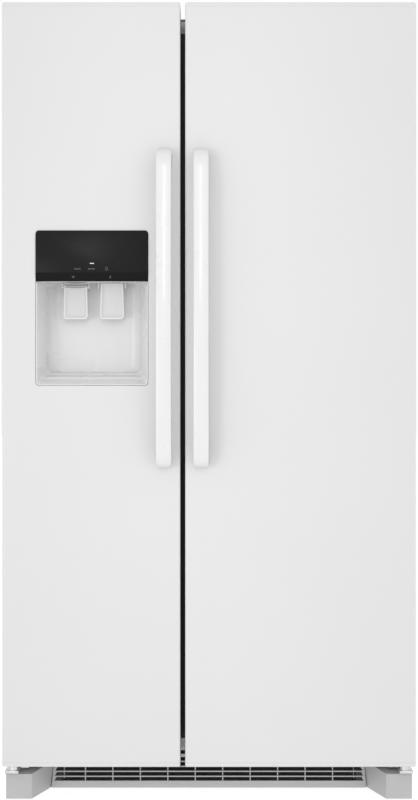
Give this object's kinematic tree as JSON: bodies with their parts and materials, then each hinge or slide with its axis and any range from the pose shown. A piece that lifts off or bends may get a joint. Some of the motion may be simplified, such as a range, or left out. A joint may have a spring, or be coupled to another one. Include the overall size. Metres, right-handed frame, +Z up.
{
  "type": "side by side refrigerator",
  "caption": "Tall white refrigerator with a narrow freezer door on the left, a wide door on the right, bowed bar handles, and an ice and water dispenser in the freezer door.",
  "frame": {"origin": "centre of the underside of the whole object, on the floor", "axes": "+X to the right of someone facing the doors, -Y out of the doors towards that person, +Z up"},
  "size_m": [0.9176, 0.862, 1.7825],
  "materials": {
    "enamel": "white baked enamel with a faint orange-peel texture, semi-gloss",
    "white_plastic": "white moulded plastic, smooth",
    "dispenser_white": "white moulded plastic, satin",
    "grey_plastic": "light grey moulded plastic, fine grain",
    "black_gloss": "black gloss plastic",
    "gasket_rubber": "dark soft magnetic seal",
    "foam": "rigid insulating foam",
    "zinc": "zinc-plated steel",
    "galvanised": "galvanised steel sheet",
    "aluminium": "plain aluminium tube and fin",
    "black_paint": "black painted steel",
    "dark_plastic": "dark grey moulded plastic",
    "clear_plastic": "clear moulded plastic",
    "shelf_glass": "tempered glass with a white rim",
    "filter_blue": "blue moulded plastic"
  },
  "bodies": {
    "cabinet": {"cabinet_wrapper": "enamel", "freezer_liner": "white_plastic", "fresh_food_liner": "white_plastic", "cabinet_foam": "foam", "rear_panel": "galvanised", "machine_cover": "galvanised", "base_frame": "galvanised", "toe_grille": "grey_plastic", "foot_cover_left": "grey_plastic", "foot_cover_right": "grey_plastic", "bottom_hinge_left": "zinc", "top_hinge_left": "zinc", "hinge_cap_left": "white_plastic", "bottom_hinge_right": "zinc", "top_hinge_right": "zinc", "hinge_cap_right": "white_plastic", "compressor": "black_paint", "condenser": "black_paint", "evaporator": "aluminium", "evaporator_cover": "white_plastic", "freezer_shelf_lower": "clear_plastic", "freezer_shelf_middle": "clear_plastic", "freezer_shelf_upper": "clear_plastic", "ice_maker": "white_plastic", "crisper_cover": "shelf_glass", "shelf_lower": "shelf_glass", "shelf_upper": "shelf_glass", "control_housing": "white_plastic"},
    "freezer_door": {"freezer_door_panel": "enamel", "freezer_door_foam": "foam", "freezer_door_liner": "white_plastic", "freezer_door_gasket": "gasket_rubber", "freezer_handle": "enamel", "dispenser_housing": "dispenser_white", "dispenser_fascia": "black_gloss"},
    "fresh_food_door": {"fresh_food_door_panel": "enamel", "fresh_food_door_foam": "foam", "fresh_food_door_liner": "white_plastic", "fresh_food_door_gasket": "gasket_rubber", "fresh_food_handle": "enamel", "dairy_bin": "clear_plastic"},
    "freezer_bin_lower_body": {"freezer_bin_lower": "clear_plastic"},
    "freezer_bin_upper_body": {"freezer_bin_upper": "clear_plastic"},
    "fresh_food_bin_lower_body": {"fresh_food_bin_lower": "clear_plastic"},
    "fresh_food_bin_upper_body": {"fresh_food_bin_upper": "clear_plastic"},
    "dairy_lid_body": {"dairy_lid": "clear_plastic"},
    "chute_flap_body": {"chute_flap": "dark_plastic"},
    "ice_paddle_body": {"ice_paddle": "dispenser_white"},
    "water_paddle_body": {"water_paddle": "dispenser_white"},
    "condenser_fan_body": {"condenser_fan": "dark_plastic"},
    "evaporator_fan_body": {"evaporator_fan": "dark_plastic"},
    "front_roller_left_body": {"front_roller_left": "dark_plastic"},
    "front_roller_right_body": {"front_roller_right": "dark_plastic"},
    "rear_roller_axle_body": {"rear_roller_axle": "dark_plastic"},
    "crisper_lower_body": {"crisper_lower": "clear_plastic"},
    "crisper_upper_body": {"crisper_upper": "clear_plastic"},
    "freezer_basket_body": {"freezer_basket": "white_plastic"},
    "ice_bin_body": {"ice_bin": "clear_plastic"},
    "ice_maker_arm_body": {"ice_maker_arm": "zinc"},
    "water_filter_body": {"water_filter": "filter_blue"}
  },
  "joints": [
    {"name": "freezer_door_hinge", "type": "hinge", "parent": "cabinet", "child": "freezer_door", "pos_m": [-0.43775, -0.343, 0], "axis": [0, 0, -1], "range_deg": [0, 125]},
    {"name": "fresh_food_door_hinge", "type": "hinge", "parent": "cabinet", "child": "fresh_food_door", "pos_m": [0.43775, -0.343, 0], "axis": [0, 0, 1], "range_deg": [0, 125]},
    {"name": "ice_paddle_push", "type": "hinge", "parent": "freezer_door", "child": "ice_paddle_body", "pos_m": [-0.30045, -0.317, 1.15], "axis": [1, 0, 0], "range_deg": [0, 12], "stiffness_Nm_per_rad": 0.4},
    {"name": "water_paddle_push", "type": "hinge", "parent": "freezer_door", "child": "water_paddle_body", "pos_m": [-0.21845, -0.317, 1.15], "axis": [1, 0, 0], "range_deg": [0, 12], "stiffness_Nm_per_rad": 0.4},
    {"name": "chute_flap_swing", "type": "hinge", "parent": "freezer_door", "child": "chute_flap_body", "pos_m": [-0.43775, -0.344, 1.1755], "axis": [-1, 0, 0], "range_deg": [0, 75]},
    {"name": "condenser_fan_spin", "type": "hinge", "parent": "cabinet", "child": "condenser_fan_body", "pos_m": [0.04, 0.311, 0.154], "axis": [1, 0, 0], "continuous": true},
    {"name": "evaporator_fan_spin", "type": "hinge", "parent": "cabinet", "child": "evaporator_fan_body", "pos_m": [-0.25025, 0.3228, 1.484], "axis": [0, -1, 0], "continuous": true},
    {"name": "front_roller_left_spin", "type": "hinge", "parent": "cabinet", "child": "front_roller_left_body", "pos_m": [-0.35025, -0.206, 0.0255], "axis": [1, 0, 0], "continuous": true},
    {"name": "front_roller_right_spin", "type": "hinge", "parent": "cabinet", "child": "front_roller_right_body", "pos_m": [0.35025, -0.206, 0.0255], "axis": [1, 0, 0], "continuous": true},
    {"name": "rear_rollers_spin", "type": "hinge", "parent": "cabinet", "child": "rear_roller_axle_body", "pos_m": [0, 0.371, 0.024], "axis": [1, 0, 0], "continuous": true},
    {"name": "crisper_lower_slide", "type": "slide", "parent": "cabinet", "child": "crisper_lower_body", "axis": [0, -1, 0], "range_m": [0, 0.07]},
    {"name": "crisper_upper_slide", "type": "slide", "parent": "cabinet", "child": "crisper_upper_body", "axis": [0, -1, 0], "range_m": [0, 0.07]},
    {"name": "freezer_basket_slide", "type": "slide", "parent": "cabinet", "child": "freezer_basket_body", "axis": [0, -1, 0], "range_m": [0, 0.07]},
    {"name": "ice_bin_slide", "type": "slide", "parent": "cabinet", "child": "ice_bin_body", "axis": [0, -1, 0], "range_m": [0, 0.024]},
    {"name": "ice_maker_arm_lift", "type": "hinge", "parent": "cabinet", "child": "ice_maker_arm_body", "pos_m": [-0.14995, -0.084, 1.547], "axis": [-1, 0, 0], "range_deg": [0, 25]},
    {"name": "water_filter_turn", "type": "hinge", "parent": "cabinet", "child": "water_filter_body", "pos_m": [0.35805, -0.176, 1.6788], "axis": [0, -1, 0], "range_deg": [0, 90]},
    {"name": "dairy_lid_swing", "type": "hinge", "parent": "fresh_food_door", "child": "dairy_lid_body", "pos_m": [0.43775, -0.301, 1.587], "axis": [1, 0, 0], "range_deg": [0, 75]},
    {"name": "freezer_bin_lower_lift", "type": "slide", "parent": "freezer_door", "child": "freezer_bin_lower_body", "axis": [0, 0, 1], "range_m": [0, 0.04]},
    {"name": "freezer_bin_upper_lift", "type": "slide", "parent": "freezer_door", "child": "freezer_bin_upper_body", "axis": [0, 0, 1], "range_m": [0, 0.04]},
    {"name": "fresh_food_bin_lower_lift", "type": "slide", "parent": "fresh_food_door", "child": "fresh_food_bin_lower_body", "axis": [0, 0, 1], "range_m": [0, 0.04]},
    {"name": "fresh_food_bin_upper_lift", "type": "slide", "parent": "fresh_food_door", "child": "fresh_food_bin_upper_body", "axis": [0, 0, 1], "range_m": [0, 0.04]}
  ],
  "couplings": [
    {"joint": "chute_flap_swing", "follows": "ice_paddle_push", "ratio": 6.25}
  ]
}
